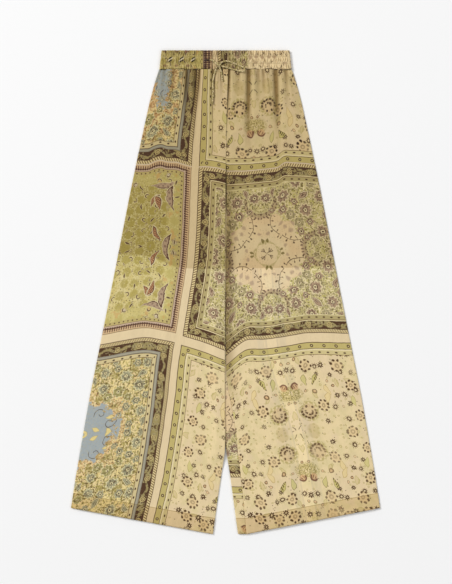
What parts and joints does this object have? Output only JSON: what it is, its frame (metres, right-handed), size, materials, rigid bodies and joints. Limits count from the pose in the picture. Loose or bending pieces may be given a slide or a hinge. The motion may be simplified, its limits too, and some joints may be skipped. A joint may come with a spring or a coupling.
{
  "type": "palazzo pants laid flat",
  "caption": "Wide-leg palazzo pants laid flat with the front up, with a shirred elastic waistband and a printed drawstring tied in a half bow.",
  "frame": {"origin": "middle of the laid garment's length and width, on the surface that it rests on", "axes": "+Y from the hems toward the waist, +X toward the wearer's left leg, +Z out of the front, away from the surface"},
  "size_m": [0.7102, 1.1111, 0.0136],
  "materials": {
    "leg_print": "light plain-weave voile with a soft sheen, printed in a patchwork of cream, olive, sage, mauve and brown",
    "waistband_print": "the same printed cloth, doubled over elastic and shirred",
    "tie_print": "the same printed cloth, sewn into a narrow tie"
  },
  "bodies": {
    "root": {"waistband": "waistband_print", "right_front": "leg_print", "left_front": "leg_print", "right_back": "leg_print", "left_back": "leg_print", "drawstring_knot": "tie_print", "drawstring_lead": "tie_print", "drawstring_loop": "tie_print", "drawstring_tail": "tie_print", "drawstring_end": "tie_print"}
  },
  "joints": []
}
